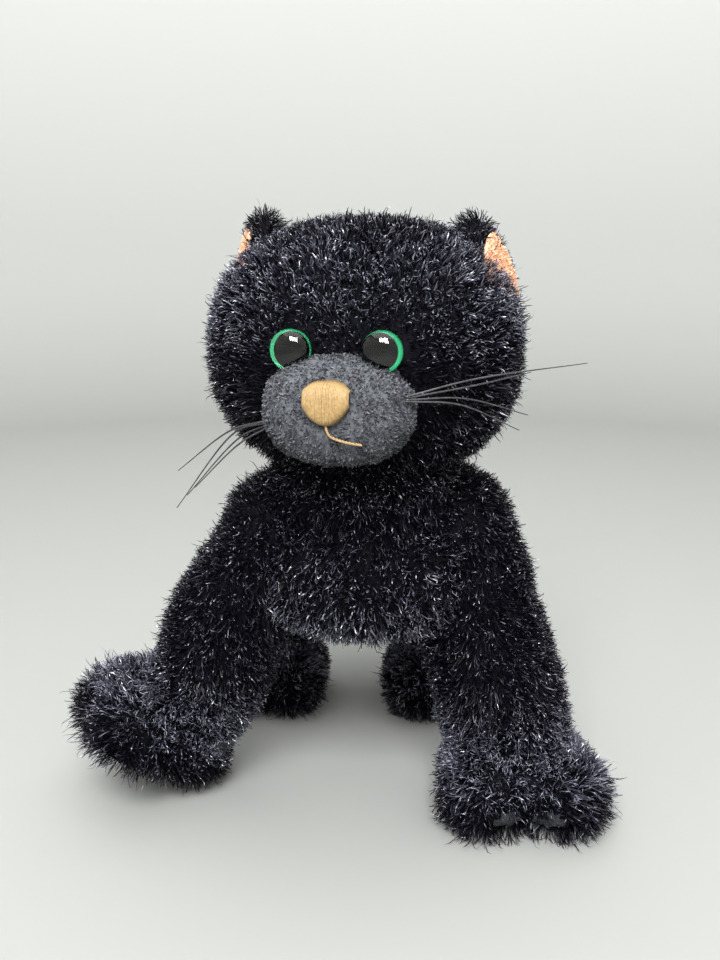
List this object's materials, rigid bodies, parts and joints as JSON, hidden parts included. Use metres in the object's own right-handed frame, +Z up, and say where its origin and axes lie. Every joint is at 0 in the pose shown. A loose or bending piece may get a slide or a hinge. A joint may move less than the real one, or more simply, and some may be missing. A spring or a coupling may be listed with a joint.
{
  "type": "plush cat",
  "caption": "Stuffed long-pile plush cat standing on splayed legs, with a turning and nodding head, swinging legs and a swaying tail.",
  "frame": {"origin": "middle of the floor under the whole object", "axes": "+Z up, -Y the way the cat faces, +X the cat's left"},
  "size_m": [0.1884, 0.2168, 0.2145],
  "materials": {
    "black_plush": "long shiny pile, fibres curled at the tips",
    "grey_fleece": "short looped fleece",
    "peach_fleece": "short plush",
    "tan_thread": "satin-stitched thread",
    "bristle": "semi-gloss nylon bristle",
    "green_iris": "gloss",
    "pupil": "gloss",
    "clear_dome": "polished clear plastic",
    "eye_plastic": "moulded",
    "fibrefill": "loose fibre",
    "pellets": "loose beads"
  },
  "bodies": {
    "torso": {"torso_left_panel": "black_plush", "torso_right_panel": "black_plush", "chest_belly_panel": "black_plush", "torso_stuffing": "fibrefill", "belly_pellet_bag": "pellets"},
    "neck": {"neck_stuffing": "fibrefill"},
    "head": {"head_centre_gusset": "black_plush", "head_left_panel": "black_plush", "head_right_panel": "black_plush", "head_stuffing": "fibrefill", "muzzle_cover": "grey_fleece", "muzzle_stuffing": "fibrefill", "nose_embroidery": "tan_thread", "mouth_stitch": "tan_thread", "left_iris": "green_iris", "left_pupil": "pupil", "left_eye_dome": "clear_dome", "left_eye_shank": "eye_plastic", "left_eye_washer": "eye_plastic", "left_ear_back": "black_plush", "left_ear_lining": "peach_fleece", "left_whisker_1": "bristle", "left_whisker_2": "bristle", "left_whisker_3": "bristle", "left_whisker_4": "bristle", "right_iris": "green_iris", "right_pupil": "pupil", "right_eye_dome": "clear_dome", "right_eye_shank": "eye_plastic", "right_eye_washer": "eye_plastic", "right_ear_back": "black_plush", "right_ear_lining": "peach_fleece", "right_whisker_1": "bristle", "right_whisker_2": "bristle", "right_whisker_3": "bristle", "right_whisker_4": "bristle"},
    "tail": {"tail_cover": "black_plush", "tail_stuffing": "fibrefill"},
    "front_left_leg": {"front_left_leg_outer_panel": "black_plush", "front_left_leg_inner_panel": "black_plush", "front_left_leg_stuffing": "fibrefill", "front_left_paw_pellets": "pellets", "front_left_paw_sole": "grey_fleece", "front_left_toe_stitch": "bristle"},
    "front_right_leg": {"front_right_leg_outer_panel": "black_plush", "front_right_leg_inner_panel": "black_plush", "front_right_leg_stuffing": "fibrefill", "front_right_paw_pellets": "pellets", "front_right_paw_sole": "grey_fleece", "front_right_toe_stitch": "bristle"},
    "hind_left_leg": {"hind_left_leg_outer_panel": "black_plush", "hind_left_leg_inner_panel": "black_plush", "hind_left_leg_stuffing": "fibrefill", "hind_left_paw_pellets": "pellets", "hind_left_paw_sole": "grey_fleece"},
    "hind_right_leg": {"hind_right_leg_outer_panel": "black_plush", "hind_right_leg_inner_panel": "black_plush", "hind_right_leg_stuffing": "fibrefill", "hind_right_paw_pellets": "pellets", "hind_right_paw_sole": "grey_fleece"}
  },
  "joints": [
    {"name": "head_turn", "type": "hinge", "parent": "torso", "child": "neck", "pos_m": [0.01143, -0.05327, 0.137], "axis": [0, 0, 1], "range_deg": [-22, 35]},
    {"name": "head_nod", "type": "hinge", "parent": "neck", "child": "head", "pos_m": [0.01143, -0.05327, 0.137], "axis": [0.9744, -0.225, 0], "range_deg": [-12, 14]},
    {"name": "front_left_leg_swing", "type": "hinge", "parent": "torso", "child": "front_left_leg", "pos_m": [0.04243, -0.04527, 0.102], "axis": [1, 0, 0], "range_deg": [-18, 22]},
    {"name": "front_right_leg_swing", "type": "hinge", "parent": "torso", "child": "front_right_leg", "pos_m": [-0.01957, -0.04527, 0.102], "axis": [1, 0, 0], "range_deg": [-18, 22]},
    {"name": "hind_left_leg_swing", "type": "hinge", "parent": "torso", "child": "hind_left_leg", "pos_m": [0.04343, 0.04073, 0.086], "axis": [1, 0, 0], "range_deg": [-18, 18]},
    {"name": "hind_right_leg_swing", "type": "hinge", "parent": "torso", "child": "hind_right_leg", "pos_m": [-0.02057, 0.04073, 0.086], "axis": [1, 0, 0], "range_deg": [-18, 18]},
    {"name": "tail_sway", "type": "hinge", "parent": "torso", "child": "tail", "pos_m": [0.01143, 0.06973, 0.092], "axis": [0, 0, 1], "range_deg": [-22, 22]}
  ]
}
